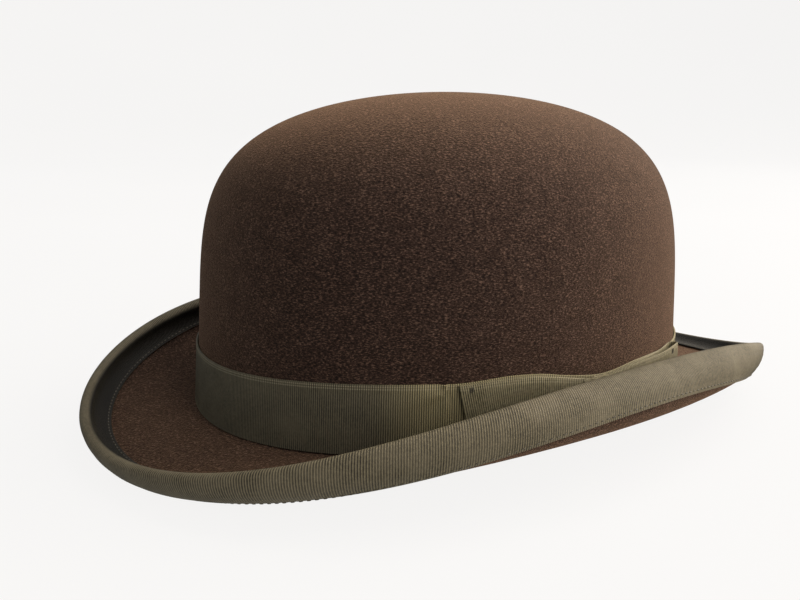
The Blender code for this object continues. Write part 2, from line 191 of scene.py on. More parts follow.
# %% [markdown]
# ## From a grid of points to a mesh
# A grid with rows and columns becomes a mesh of four-sided faces. Rows, columns or both can close on
# themselves, and a row that has shrunk to a pole is welded to one point. Ribbons also carry a UV map in
# metres, along and across the ribbon, so that a weave keeps its true thread spacing.

# %% Grid to mesh
def volume(mesh):
    """Six times the signed volume. It is negative where the faces point inwards."""
    mesh.calc_loop_triangles()
    corners = np.empty(len(mesh.loop_triangles) * 3, np.int32)
    mesh.loop_triangles.foreach_get("vertices", corners)
    place = np.empty(len(mesh.vertices) * 3)
    mesh.vertices.foreach_get("co", place)
    return float(np.linalg.det(place.reshape(-1, 3)[corners].reshape(-1, 3, 3)).sum())


def make_piece(name, place, faces, material, uv=None, sharp=45):
    """Points, four-sided faces and a UV place for each face corner become one object at the origin."""
    mesh = bpy.data.meshes.new(name)
    mesh.vertices.add(len(place))
    mesh.vertices.foreach_set("co", np.ascontiguousarray(place, np.float32).ravel())
    mesh.loops.add(faces.size)
    mesh.loops.foreach_set("vertex_index", faces.astype(np.int32).ravel())
    mesh.polygons.add(len(faces))
    mesh.polygons.foreach_set("loop_start", np.arange(len(faces), dtype=np.int32) * 4)
    mesh.update(calc_edges=True)
    if uv is not None:
        mesh.uv_layers.new(name="ribbon").uv.foreach_set("vector", uv.astype(np.float32).ravel())
    shape = bmesh.new()
    shape.from_mesh(mesh)
    bmesh.ops.remove_doubles(shape, verts=shape.verts, dist=1e-7)
    bmesh.ops.dissolve_degenerate(shape, dist=1e-8, edges=shape.edges)
    shape.to_mesh(mesh)
    shape.free()
    if volume(mesh) < 0:
        mesh.flip_normals()
    mesh.shade_smooth()
    mesh.set_sharp_from_angle(angle=math.radians(sharp))
    mesh.materials.append(material)
    piece = bpy.data.objects.new(name, mesh)
    bpy.context.scene.collection.objects.link(piece)
    print(f"{name}: {len(mesh.polygons)} faces")
    return piece


def grid_faces(rows, columns, close_rows, close_columns):
    """The four corners of each face as row and column numbers, which run one past the end where it closes."""
    r, c = np.indices((rows - 1 + close_rows, columns - 1 + close_columns)).reshape(2, -1)
    return np.stack([r, r, r + 1, r + 1], axis=1), np.stack([c, c + 1, c + 1, c], axis=1)


def surface(name, grid, material, close_rows=False, close_columns=True, along=None, across=None, sharp=45):
    """An object from a grid of points. along and across are the UV lengths of its columns and its rows,
    with one value more than it has rows or columns where it closes."""
    rows, columns = grid.shape[:2]
    r, c = grid_faces(rows, columns, close_rows, close_columns)
    uv = None if along is None else np.stack([along[c], across[r]], axis=-1)
    return make_piece(name, grid.reshape(-1, 3), (r % rows) * columns + c % columns, material, uv, sharp)


def unit(vector):
    return vector / np.linalg.norm(vector, axis=-1, keepdims=True)


def threads(name, paths, radius, material, sides=6):
    """Many short round threads in one mesh. Each path is swept by a circle whose radius falls to nothing
    at both ends: radius * sqrt(1 - (2 s - 1)^8), with s the share of the thread's length."""
    count, stops = paths.shape[:2]
    share = np.linspace(-1, 1, stops)
    size = radius * np.sqrt(1 - share**8)
    forward = unit(np.gradient(paths, axis=1))
    sideways = unit(np.cross(forward, unit(paths.mean(axis=1) - [0, MIDDLE_Y, 0])[:, None, :]))
    upward = np.cross(sideways, forward)
    angle = np.arange(sides) * 2 * math.pi / sides
    circle = np.cos(angle)[:, None] * sideways[:, :, None] + np.sin(angle)[:, None] * upward[:, :, None]
    place = paths[:, :, None] + size[None, :, None, None] * circle
    r, c = grid_faces(stops, sides, False, True)
    one = r * sides + c % sides
    faces = (np.arange(count)[:, None, None] * stops * sides + one[None]).reshape(-1, 4)
    return make_piece(name, place.reshape(-1, 3), faces, material, sharp=80)


def wear(piece, slot, *nodes):
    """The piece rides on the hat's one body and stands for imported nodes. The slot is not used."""
    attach(piece, "root")
    if nodes:
        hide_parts(*nodes)
    return piece

# %% [markdown]
# ## A helper for materials
# A material is a small tree of nodes around one shader. One function adds any node, with its settings and
# its links. Colours are written as the usual hex values and turned to the linear light that Blender uses.
# Patterns read Object coordinates in metres, or the ribbon's own UV map, so a scale is 1 over a size.

# %% Helpers for materials
def linear(hex_colour):
    """sRGB to linear: c / 12.92 below 0.04045, and ((c + 0.055) / 1.055)^2.4 above it."""
    c = np.array([int(hex_colour[k:k + 2], 16) for k in (0, 2, 4)]) / 255
    return (*np.where(c <= 0.04045, c / 12.92, ((c + 0.055) / 1.055) ** 2.4).tolist(), 1.0)


def add(tree, kind, inputs=None, **settings):
    """Adds a node, sets its properties, and fills its inputs, by name or number, with values or sockets."""
    node = tree.nodes.new("ShaderNode" + kind)
    for key, value in settings.items():
        setattr(node, key, value)
    for key, value in (inputs or {}).items():
        if isinstance(value, bpy.types.NodeSocket):
            tree.links.new(value, node.inputs[key])
        else:
            node.inputs[key].default_value = value
    return node


def new_material(name, **shader_inputs):
    """A material, its nodes, its shader, and the Object coordinates that its patterns read."""
    material = bpy.data.materials.new(name)
    material.use_nodes = True
    tree = material.node_tree
    shader = tree.nodes["Principled BSDF"]
    for key, value in shader_inputs.items():
        shader.inputs[key.replace("_", " ")].default_value = value
    return material, tree, shader, add(tree, "TexCoord").outputs["Object"]


def ramp(tree, factor, stops):
    """A colour ramp from (position, hex colour) pairs."""
    node = add(tree, "ValToRGB", {0: factor})
    elements = node.color_ramp.elements
    while len(elements) < len(stops):
        elements.new(0.5)
    for element, (position, colour) in zip(elements, stops):
        element.position, element.color = position, linear(colour)
    return node.outputs["Color"]


def noise(tree, vector, size, detail=2.0, roughness=0.5):
    """Noise whose mottles are about the given size in metres."""
    inputs = {"Vector": vector, "Scale": 1 / size, "Detail": detail, "Roughness": roughness}
    return add(tree, "TexNoise", inputs).outputs[0]


def math_node(tree, operation, first, second=0.0, third=0.0):
    return add(tree, "Math", {0: first, 1: second, 2: third}, operation=operation).outputs[0]


def map_range(tree, value, low, high, first=0.0, last=1.0, **settings):
    """Runs from first, where the value is low, to last, where it is high, and is level beyond both."""
    return add(tree, "MapRange", {0: value, 1: low, 2: high, 3: first, 4: last}, **settings).outputs[0]


def blend_colours(tree, factor, first, second, blend_type="MIX"):
    node = add(tree, "Mix", {0: factor, 6: first, 7: second}, data_type="RGBA", blend_type=blend_type)
    return node.outputs[2]


def bump(tree, shader, height, depth, strength=1.0, under=None):
    inputs = {"Height": height, "Distance": depth, "Strength": strength}
    if under is not None:
        inputs["Normal"] = under
    node = add(tree, "Bump", inputs)
    tree.links.new(node.outputs[0], shader.inputs["Normal"])
    return node.outputs[0]


# %% [markdown]
# ## Fur felt
# The body is rabbit fur, matted with steam and pressure, stiffened, blocked and brushed. That leaves a
# short nap that lies round the crown, in small flattened mottles of lighter and darker brown, and it
# scatters light softly at a glancing angle. So the colour comes from two sizes of noise, the finer one
# flatter than it is wide. The nap is a fine bump, and the glow along the edges is the shader's sheen.

# %% Felt material
NAP, FINE_HAIR, MOTTLE = 0.9 * MM, 0.35 * MM, 7 * MM
NAP_FLATTENING = 2.4


def fur_felt():
    material, tree, shader, place = new_material(
        "brushed_brown_fur_felt", Roughness=0.95, Specular_IOR_Level=0.15, IOR=1.45,
        Sheen_Weight=0.5, Sheen_Roughness=0.38, Sheen_Tint=linear("C9A07C"))
    flat = add(tree, "Mapping", {"Vector": place, "Scale": (1.0, 1.0, NAP_FLATTENING)}).outputs[0]
    nap = noise(tree, flat, NAP, 3.0, 0.62)
    mottle = noise(tree, place, MOTTLE, 3.0, 0.6)
    colour = ramp(tree, nap, [(0.34, "14100E"), (0.47, "30241F"), (0.56, "45342C"), (0.7, "7C6253")])
    shade = ramp(tree, mottle, [(0.3, "B0A6A4"), (0.7, "FFFFFF")])
    tree.links.new(blend_colours(tree, 0.55, colour, shade, "MULTIPLY"), shader.inputs["Base Color"])
    coarse = bump(tree, shader, nap, 0.5 * MM, 1.0)
    fine = noise(tree, flat, FINE_HAIR, 2.0, 0.6)
    bump(tree, shader, fine, 0.15 * MM, 0.6, coarse)
    return material


# %% [markdown]
# ## Grosgrain ribbon
# Grosgrain has thick cross threads under a close covering of thin lengthwise threads, which makes ribs
# straight across the ribbon. The ribs are real folds in the mesh here. The material paints shade into the
# grooves between them, where light does not reach, adds the thin threads, which are drawn twice as
# coarse as they are so that they show, and lets the colour fade a little in patches, as on an old ribbon.
# The band is painted lighter near the bow as a painted highlight, and the binding's half inside the curl is
# painted dark as painted shade under the curl.

# %% Ribbon materials
# Each ribbon has the colours of its grooves, which are painted shade, its ridges and its faded patches,
# the most that it fades, and its sheen.
THREAD, GRAIN, FADED_PATCH = 0.3 * MM, 0.9 * MM, 14 * MM
SELVEDGE_MIDDLE, SELVEDGE_SPREAD = 0.95 * MM, 0.45 * MM
BINDING_COLOURS = "231F15", "7C7259", "867C66", 0.35, 0.15
BAND_COLOURS = "24211A", "6A634E", "746C56", 0.3, 0.2
BOW_COLOURS = "2C281B", "9C9270", "A0967A", 0.3, 0.2
# Of these, the first colour is painted shade inside the brim's curl and the last is a painted highlight on
# the band.
CURL_SHADE, SELVEDGE, LIT_COLOUR = "2F2C28", "B4AA8C", "A89C74"


def grosgrain(name, rib_pitch, groove, ridge, faded, fade_amount, sheen, shade_from=None, edge=None, lit_stretch=None):
    """kept is how far across the ribbon its half with painted shade begins, and edge how far across its upper
    selvedge is. sunned is where along it the ribbon is painted lighter, a painted highlight: the start, the
    width of each end and the last place. Two light lines run below the selvedge, where ||v - edge + middle| -
    spread| is small."""
    material, tree, shader, place = new_material(
        name, Roughness=0.62, Specular_IOR_Level=0.32, IOR=1.5,
        Sheen_Weight=sheen, Sheen_Roughness=0.4, Sheen_Tint=linear("C8BC98"))
    ribbon = add(tree, "UVMap", uv_map="ribbon").outputs[0]
    parts = add(tree, "SeparateXYZ", {0: ribbon})
    phase = math_node(tree, "MULTIPLY", parts.outputs[0], 2 * math.pi / rib_pitch)
    rib = math_node(tree, "MULTIPLY_ADD", math_node(tree, "COSINE", phase), 0.5, 0.5)
    patches = noise(tree, place, FADED_PATCH, 4.0, 0.6)
    grain = noise(tree, place, GRAIN, 2.0, 0.6)
    uneven = math_node(tree, "MULTIPLY_ADD", grain, 0.9, -0.45)
    height = math_node(tree, "ADD", rib, uneven)
    # The groove colour is painted shade, darker in the hollows between the ribs.
    ribs = blend_colours(tree, height, linear(groove), linear(ridge))
    worn = map_range(tree, patches, 0.42, 0.72, 0.0, fade_amount)
    colour = blend_colours(tree, worn, ribs, linear(faded))
    # A painted highlight: along this stretch the ribbon is painted lighter, where the light falls on it.
    if lit_stretch is not None:
        start, width, end = lit_stretch
        along = parts.outputs[0]
        rising = map_range(tree, along, start, start + width, interpolation_type="SMOOTHSTEP")
        falling = map_range(tree, along, end, end + width, 1.0, 0.0)
        lit_ribs = blend_colours(tree, rib, linear(BOW_COLOURS[0]), linear(LIT_COLOUR))
        colour = blend_colours(tree, math_node(tree, "MULTIPLY", rising, falling), colour, lit_ribs)
    # Painted shade: the binding's half inside the curl is multiplied by a dark colour for the shade under the
    # curl.
    if shade_from is not None:
        shaded = map_range(tree, parts.outputs[1], shade_from, shade_from + 1.5 * MM)
        colour = blend_colours(tree, shaded, colour, linear(CURL_SHADE), "MULTIPLY")
    if edge is not None:
        away = parts.outputs[1]
        for middle in (edge - SELVEDGE_MIDDLE, SELVEDGE_SPREAD):
            away = math_node(tree, "ABSOLUTE", math_node(tree, "SUBTRACT", away, middle))
        line = map_range(tree, away, 0.3 * MM, 0.12 * MM, 0.0, 0.55)
        colour = blend_colours(tree, math_node(tree, "MULTIPLY", line, rib), colour, linear(SELVEDGE))
    tree.links.new(colour, shader.inputs["Base Color"])
    thread = math_node(tree, "SINE", math_node(tree, "MULTIPLY", parts.outputs[1], 2 * math.pi / THREAD))
    coarse = bump(tree, shader, thread, 0.03 * MM, 0.6)
    bump(tree, shader, grain, 0.08 * MM, 0.5, coarse)
    return material


# %% [markdown]
# ## Thread, leather, lining and the rest
# The stitches are waxed cotton, whose twist is too fine to see, so a small noise gives its fibres. The
# sweatband is vegetable-tanned sheepskin with a fine pebbled grain. The lining is satin, which is smooth
# with long floating threads. The reed is a nylon rod, and the oval over the lining's tip is clear film.

# %% Small materials
def spun(name, dark, light, size, roughness, sheen=0.2):
    """Twisted yarn or woven tape: fibres in two tones, with a fine bump."""
    material, tree, shader, place = new_material(
        name, Roughness=roughness, Specular_IOR_Level=0.3, Sheen_Weight=sheen, IOR=1.5)
    fibres = noise(tree, place, size, 3.0, 0.6)
    tree.links.new(ramp(tree, fibres, [(0.3, dark), (0.7, light)]), shader.inputs["Base Color"])
    bump(tree, shader, fibres, size / 6, 0.6)
    return material


def tanned_leather():
    material, tree, shader, place = new_material(
        "tanned_sheepskin", Specular_IOR_Level=0.45, IOR=1.5, Coat_Weight=0.12, Coat_Roughness=0.3)
    pores = add(tree, "TexVoronoi", {"Vector": place, "Scale": 1 / (1.4 * MM)}, feature="DISTANCE_TO_EDGE")
    pebble = map_range(tree, pores.outputs["Distance"], 0.0, 0.25)
    patches = noise(tree, place, 18 * MM, 4.0, 0.6)
    colour = ramp(tree, patches, [(0.3, "6A4526"), (0.55, "8A5E36"), (0.75, "9C7044")])
    creases = blend_colours(tree, pebble, linear("5A3A20"), colour)
    tree.links.new(creases, shader.inputs["Base Color"])
    rough = map_range(tree, patches, 0.0, 1.0, 0.36, 0.52)
    tree.links.new(rough, shader.inputs["Roughness"])
    bump(tree, shader, pebble, 0.08 * MM, 0.7)
    return material


def satin():
    material, tree, shader, place = new_material(
        "woven_satin_lining", Roughness=0.34, Specular_IOR_Level=0.5, IOR=1.5,
        Sheen_Weight=0.15, Sheen_Roughness=0.3, Anisotropic=0.5)
    floats = add(tree, "Mapping", {"Vector": place, "Scale": (1.0, 1.0, 0.08)}).outputs[0]
    weave = noise(tree, floats, 0.5 * MM, 2.0, 0.5)
    patches = noise(tree, place, 25 * MM, 3.0, 0.5)
    colour = ramp(tree, weave, [(0.3, "8F7F66"), (0.7, "B3A286")])
    shade = ramp(tree, patches, [(0.3, "D8D0C4"), (0.7, "FFFFFF")])
    tree.links.new(blend_colours(tree, 0.6, colour, shade, "MULTIPLY"), shader.inputs["Base Color"])
    bump(tree, shader, weave, 0.05 * MM, 0.5)
    return material


def clear_film():
    material, tree, shader, place = new_material(
        "clear_film", Roughness=0.08, IOR=1.46, Transmission_Weight=0.95, Specular_IOR_Level=0.5)
    ripple = noise(tree, place, 20 * MM, 2.0, 0.5)
    tree.links.new(ramp(tree, ripple, [(0.3, "E8E4D8"), (0.7, "F8F6F0")]), shader.inputs["Base Color"])
    bump(tree, shader, ripple, 0.6 * MM, 0.4)
    return material


felt = fur_felt()
leather, lining = tanned_leather(), satin()
thread_brown = spun("waxed_cotton_thread", "2E2A20", "5E5642", 0.25 * MM, 0.6)
thread_light = spun("frayed_ribbon_threads", "8C7F62", "CFC29E", 0.25 * MM, 0.6)
tape = spun("woven_cotton_tape", "4F4638", "7A6E5A", 0.5 * MM, 0.8)
cord_silk = spun("twisted_silk_cord", "6A5334", "A58658", 0.3 * MM, 0.4, 0.3)
nylon = spun("drawn_nylon_reed", "B4AE9C", "CCC7B6", 3 * MM, 0.35, 0.0)
print("materials:", ", ".join(sorted(m.name for m in bpy.data.materials)))

# %% [markdown]
# ## The felt body
# Crown and brim are one felt with no seam, so they are one closed surface: rows run from the top of the
# dome down its outside, over the brim, round its cut edge, back along the underside and up the inside.
# A sculpted blob would wander, but a row formula keeps the felt one thickness everywhere.

# %% Felt body
CROWN_ROWS, BRIM_ROWS, FELT_COLUMNS = 70, 34, 288
FILLET, INNER_FILLET = 0.8 * MM, 3 * MM


def brim_reach(turn, inset, out):
    """How far before the edge a face of the brim comes to a level distance out from the oval."""
    straight, start, end, _, _ = brim_outline(turn)
    return CURL_RADIUS * (end - start) + straight - (out + inset * np.sin(start)) / np.cos(start)


def dome_rows(turn, inset, low_height, count):
    """Rows from the pole to a height: rise = sin(pi / 2 * s), so that they are evenly spaced over the top."""
    low = low_height / (FOOT_Z + CROWN_HEIGHT - inset - foot_height(turn))
    share = np.linspace(1, 0, count)[:, None]
    start = np.arcsin(np.clip(low, 0, 1)) * 2 / math.pi
    return crown_point(turn, np.sin(math.pi / 2 * (start + (1 - start) * share)), inset)


def felt_grid():
    turn = ring(FELT_COLUMNS)
    middle = (FELT_UNDER + FELT_TOP) / 2
    share = np.linspace(0, 1, BRIM_ROWS)[:, None]
    edge = FELT_UNDER + FELT / 2
    outside = dome_rows(turn, 0, FILLET, CROWN_ROWS)
    foot = bend(outside[-1:], brim_root(turn, 0, FELT_TOP), brim_root(turn, FILLET, FELT_TOP), 6)
    top_reach, under_reach = brim_reach(turn, FELT_TOP, FILLET), brim_reach(turn, FELT_UNDER, 0)
    top = brim_point(turn, top_reach + (edge - top_reach) * share, FELT_TOP)
    angle = np.linspace(-math.pi / 2, math.pi / 2, 9)[:, None]
    cut = brim_point(turn, edge - FELT / 2 * np.cos(angle), middle - FELT / 2 * np.sin(angle))
    under = brim_point(turn, edge + (under_reach - edge) * share, FELT_UNDER)
    inside = dome_rows(turn, FELT, INNER_FILLET, CROWN_ROWS)[::-1]
    mouth = bend(under[-1:], brim_root(turn, -FELT, FELT_UNDER), inside[:1], 8)
    return np.concatenate([outside, foot[1:-1], top, cut[1:-1], under, mouth[1:-1], inside])


wear(surface("fur_felt_body", felt_grid(), felt, sharp=60), "felt", "felt_body")

# %% [markdown]
# ## Ribs
# Each rib of a ribbon takes three columns of the grid, two on its broad ridge and one in the narrow groove.
# The columns are spaced by length along the ribbon, and not by angle, so that all the ribs are equally
# wide. Next to a selvedge the ribs flatten out, because the edge threads are beaten closer.

# %% Ribbon helpers
COLUMNS_PER_RIB = 3
BINDING_RIB, BAND_RIB = 0.85 * MM, 0.74 * MM
RIB_DEPTH = 0.19 * MM


def rib_heights(count):
    """The rib's depth times -cos(2 pi column / 3), so each third column is a groove."""
    return -RIB_DEPTH / 2 * np.cos(np.arange(count) * 2 * math.pi / COLUMNS_PER_RIB)[None, :]


def rib_ring(path, pitch):
    """Even turns along a closed path, three for each of a whole number of ribs, and the path's length."""
    length = even_ring(path, 4)[1]
    count = round(length / pitch) * COLUMNS_PER_RIB
    return even_ring(path, count)[0], length


def ribbon_lengths(count, pitch):
    """The UV's length along the ribbon: a third of a pitch for each column."""
    return np.arange(count + 1) * pitch / COLUMNS_PER_RIB


def section_lengths(first, second):
    """The UV's length across a closed section, from the points of its outline."""
    a, b = np.broadcast_arrays(first, second)
    a, b = np.append(a, a[:1]), np.append(b, b[:1])
    return np.concatenate([[0], np.cumsum(np.hypot(np.diff(a), np.diff(b)))])


def ribbon_piece(name, grid, material, pitch, across, slot, *nodes):
    """A ribbon from its closed section's grid, with UV lengths along its ribs and across its section."""
    along = ribbon_lengths(grid.shape[1], pitch)
    return wear(surface(name, grid, material, close_rows=True, along=along, across=across), slot, *nodes)


# %% [markdown]
# ## The brim's binding
# A ribbon 38 mm wide is steamed round the brim's edge and folded over it, with one half under the curl
# and the other on top. Its section is a narrow U, closed at both selvedges, and it is carried round the
# brim. The half under the curl is the side that is seen, because the brim rolls up and over. Where the
# hat stands, the ribs are pressed flat.

# %% Brim binding
BINDING_WIDTH, BINDING_WIDTH_FRONT = 16.5 * MM, 17.6 * MM
FOLD_RADIUS = (FELT_TOP + FOLD_GAP + RIBBON) / 2
BEAD = 0.1 * MM
# From here across, the binding's half inside the curl is painted dark: painted shade.
SHADED_FROM = 20.7 * MM


def binding_width(turn):
    return around(turn, BINDING_WIDTH_FRONT, BINDING_WIDTH, BINDING_WIDTH)


def binding_section():
    """The U as shares of a leg (0 at the fold, 1 at the selvedge), fold angles, sides and rib shares.
    Each row is (share, angle, radius from the U's middle line, rib)."""
    leg = np.array([0, 0.12, 0.27, 0.43, 0.6, 0.77, 0.91, 1.0])
    ribs = 1 - smooth(0.93, 1.0, leg)
    fold = np.linspace(90, -90, 8)[1:-1]
    outer, inner = FOLD_RADIUS, FOLD_RADIUS - RIBBON
    rows = [(s, 90, outer + BEAD * (s > 0.9), r) for s, r in zip(leg[::-1], ribs[::-1])]
    rows += [(0, a, outer, 1) for a in fold]
    rows += [(s, -90, outer + BEAD * (s > 0.9), r) for s, r in zip(leg, ribs)]
    rows += [(1.012, -90, (outer + inner) / 2, 0)]
    rows += [(s, -90, inner, 0) for s in (1.0, 0.5, 0)]
    rows += [(0, 0, inner, 0)]
    rows += [(s, 90, inner, 0) for s in (0, 0.5, 1.0)]
    rows += [(1.012, 90, (outer + inner) / 2, 0)]
    return np.array(rows, float).T[:, :, None]


def binding_grid(turn):
    share, angle, radius, rib = binding_section()
    angle = np.radians(angle)
    size = radius + rib * rib_heights(turn.shape[1])
    leg = share * (binding_width(turn) - FOLD_RADIUS)
    before = FOLD_RADIUS + leg - size * np.cos(angle)
    return brim_point(turn, before, FOLD_RADIUS - size * np.sin(angle))


binding_turns, binding_length = rib_ring(lambda t: brim_point(t, 6 * MM, 0), BINDING_RIB)
grid = binding_grid(binding_turns)
share, angle, radius, _ = (part[:, 0] for part in binding_section())
angle = np.radians(angle)
widths = section_lengths(share * BINDING_WIDTH + radius * (1 - np.cos(angle)), radius * np.sin(angle))
grid[..., 2] = np.maximum(grid[..., 2], 0)
weave = grosgrain("binding_grosgrain", BINDING_RIB, *BINDING_COLOURS, shade_from=SHADED_FROM)
binding = ribbon_piece("binding_ribbon", grid, weave, BINDING_RIB, widths, "binding", "brim_binding")
print(f"binding: {binding_length:.3f} m long")

# %% [markdown]
# ## The binding's stitches
# The binding is sewn through the felt near both of its free edges. The lower row is seen all along the
# curl as a line of small dark dashes. Each stitch is a short round thread of its own, sunk by half its
# thickness into the ribbon, and its ends dive into the cloth.

# %% Binding stitches
STITCH_PITCH, STITCH_LENGTH, STITCH_RADIUS = 2.6 * MM, 1.7 * MM, 0.2 * MM


def stitch_row(path, ring_length, lift, dive, pitch=STITCH_PITCH, length=STITCH_LENGTH):
    """Paths of stitches along path(turn, lift). Each one is lifted by lift, less dive * s^4 at its ends."""
    count = round(ring_length / pitch)
    middle = even_ring(lambda t: path(t, 0.0), count)[0].T
    middle = middle + random.normal(0, 0.02 * pitch / ring_length * 2 * math.pi, middle.shape)
    share = np.linspace(-1, 1, 6)[None, :]
    places = path(middle + share * length / 2 / ring_length * 2 * math.pi, lift - dive * share**4)
    places[..., 2] = np.maximum(places[..., 2], STITCH_RADIUS)
    return places


def under_stitch(turn, lift):
    return brim_point(turn, binding_width(turn) - 1.3 * MM, -lift)


def upper_stitch(turn, lift):
    return brim_point(turn, binding_width(turn) - 1.6 * MM, 2 * FOLD_RADIUS + lift)


paths = [stitch_row(row, binding_length, 0.16 * MM, 0.3 * MM) for row in (under_stitch, upper_stitch)]
stitches = threads("binding_stitches", np.concatenate(paths), STITCH_RADIUS, thread_brown)
wear(stitches, "thread", "binding_stitching")

# %% [markdown]
# ## The ribbon round the crown
# The band is a ribbon 24 mm wide, pulled tight round the foot of the crown and tacked behind the bow. The
# bow's knot pulls its upper edge down, and a tack beside the bow puckers it, so that short folds run out
# from there. The edge's height is eased between a few turns, and the folds are a small smooth term.

# %% Crown ribbon
BAND_HEIGHT, BAND_THICKNESS = 23.7 * MM, 0.6 * MM
BAND_FOOT_FRONT, BAND_FOOT_SIDE = 0.5 * MM, 1.5 * MM
BOW_CENTRE, BOW_HALF_ANGLE = math.radians(84), math.radians(28.3)
TACK_TURN, TACK_HEIGHT, PUCKER = math.radians(53.6), 20.6 * MM, 0.6 * MM
# Where along the band it is painted lighter, a painted highlight: start, width of each end, last place.
BAND_LIT_STRETCH = 56 * MM, 26 * MM, 250 * MM
# The upper edge: turn in degrees, height in millimetres.
BAND_EDGE = [
    (-60, 22.9), (0, 22.5), (14, 23.0), (28, 23.5), (50, 23.2), (55, 22.9), (67, 23.8), (72, 23.2),
    (78, 21.3), (86, 19.5), (98, 20.8), (110, 20.7), (124, 20.6), (160, 22.4), (200, 22.8), (300, 22.9)]


def eased(at, knots):
    """Passes through (place, value) pairs on a smooth curve: a cubic whose slope at each place is that of
    the line between its neighbours."""
    places, values = np.array(knots, float).T
    slopes = np.gradient(values, places)
    k = np.clip(np.searchsorted(places, at) - 1, 0, len(places) - 2)
    width = places[k + 1] - places[k]
    s = np.clip((at - places[k]) / width, 0, 1)
    rise = values[k + 1] - values[k]
    cubic = values[k] + rise * s * s * (3 - 2 * s)
    return cubic + width * (slopes[k] * s * (1 - s) ** 2 - slopes[k + 1] * s * s * (1 - s))


def band_top(turn):
    """The height of the upper edge, with the turn brought between the first and the last of the knots."""
    first = BAND_EDGE[0][0]
    return eased((np.degrees(turn) - first) % 360 + first, BAND_EDGE) * MM


def pucker(turn, height):
    """Folds that fan out from the tack, cos(5 * angle) dying away with distance, on a slow swell with a
    small hollow at the tack itself. They lie only before the bow."""
    along, up = (turn - TACK_TURN) * CROWN_HALF_LENGTH, height - TACK_HEIGHT
    far = np.hypot(along, up)
    fold = np.cos(5.0 * np.arctan2(up, -along) + 0.7) * np.exp(-far / (13 * MM)) * smooth(0, 3 * MM, far)
    swell = 0.4 * np.exp(-far / (16 * MM))
    hollow = 0.35 * np.exp(-((far / (1.8 * MM)) ** 2))
    before_bow = 1 - smooth(math.radians(53.2), math.radians(55.2), turn)
    return PUCKER * before_bow * (fold + swell - hollow)


def strip_section(outer_rows, inner_rows):
    """A ribbon's closed section: height shares up the outer face, over the edge, down the inner face. The
    outer rows are a little closer together near both edges."""
    up, down = np.linspace(0, 1, outer_rows), np.linspace(1, 0, inner_rows)
    near = 0.03 * np.sin(up * math.pi)
    up = up + near * (0.5 - up)
    share = np.concatenate([up, [1.008], down, [-0.008]])
    side = np.concatenate([up * 0 + 1, [0.5], down * 0, [0.5]])
    rib = np.concatenate([smooth(0, 0.05, up) * (1 - smooth(0.95, 1, up)), [0], down * 0, [0]])
    return share[:, None], side[:, None], rib[:, None]


def band_grid(turn):
    share, side, rib = strip_section(16, 4)
    foot = around(turn, BAND_FOOT_FRONT, BAND_FOOT_SIDE)
    height = foot + (band_top(turn) - foot) * share
    bead = 0.08 * MM * (1 - smooth(0, 0.04, np.minimum(share, 1 - share)))
    layer = side * BAND_THICKNESS + rib * rib_heights(turn.shape[1]) + bead * side
    return wall_point(turn, height, -(GAP + layer + pucker(turn, height).clip(-0.15 * MM)))


band_turns, band_length = rib_ring(lambda t: wall_point(t, 12 * MM, -GAP), BAND_RIB)
grid = band_grid(band_turns)
share, side, _ = (part[:, 0] for part in strip_section(16, 4))
widths = section_lengths(share * BAND_HEIGHT, side * BAND_THICKNESS)
weave = grosgrain("band_grosgrain", BAND_RIB, *BAND_COLOURS, edge=BAND_HEIGHT, lit_stretch=BAND_LIT_STRETCH)
band = ribbon_piece("crown_ribbon", grid, weave, BAND_RIB, widths, "band", "crown_band")
print(f"band: {band_length:.3f} m round")

# %% [markdown]
# ## The flat bow
# A bowler's bow is a loop of the same ribbon, laid flat over the band and held at its middle by a narrow
# wrap. The loop is a closed line seen from above: along the front, round a fold, back behind and round
# the other fold. The forward fold is pressed tight, and the rear one has sprung open.

# %% Bow
BOW_LANE = BOW_HALF_ANGLE * CROWN_HALF_LENGTH
BOW_EDGE = [
    (50, 22.4), (56, 22.6), (63, 23.5), (70, 23.2), (75, 21.9), (80, 20.2),
    (85, 18.9), (90, 19.8), (97, 21.2), (106, 21.6), (112, 22.4), (118, 22.9)]
BOW_FOOT, BOW_END = 4.1 * MM, 1.06
# How far out each layer's middle is, in millimetres, at shares of the bow's half length.
FRONT_LAYER = [(-1, 2.05), (-0.6, 2.8), (-0.12, 2.75), (0.12, 2.8), (0.6, 3.8), (BOW_END, 5.0)]
BACK_LAYER = [(-1, 1.4), (-0.12, 2.1), (0.12, 2.1), (BOW_END, 1.75)]


def bow_top(turn):
    return eased(np.degrees(turn), BOW_EDGE) * MM


def line_normals(line):
    """A closed line's direction from point to point, turned by a quarter."""
    along = np.roll(line, -1, axis=1) - np.roll(line, 1, axis=1)
    along = along / np.hypot(*along)
    return np.array([-along[1], along[0]])


def bow_path():
    """The loop's middle line as (length along the wall, distance out), cut into equal lengths, its
    normals, and its length."""
    lane = np.linspace(-1, BOW_END, 400)
    front, back = eased(lane, FRONT_LAYER) * MM, eased(lane[::-1], BACK_LAYER) * MM
    ends = [(front[-1] - back[0]) / 2, (front[0] - back[-1]) / 2]
    angle = np.linspace(math.pi / 2, -math.pi / 2, 40)[1:-1]
    lane = lane * BOW_LANE
    lane = lane + ends[1] + (lane - lane[0]) / (lane[-1] - lane[0]) * (-ends[0] - ends[1])
    rear = (lane[-1] + ends[0] * np.cos(angle), (front[-1] + back[0]) / 2 + ends[0] * np.sin(angle))
    fore = (lane[0] - ends[1] * np.cos(angle), (front[0] + back[-1]) / 2 - ends[1] * np.sin(angle))
    line = np.concatenate([[lane, front], rear, [lane[::-1], back], fore], axis=1)
    line = np.concatenate([line, line[:, :1]], axis=1)
    length = np.concatenate([[0], np.cumsum(np.hypot(*np.diff(line, axis=1)))])
    count = round(length[-1] / BAND_RIB) * COLUMNS_PER_RIB
    even = np.array([np.interp(np.arange(count) / count * length[-1], length, row) for row in line])
    return even, line_normals(even), float(length[-1])


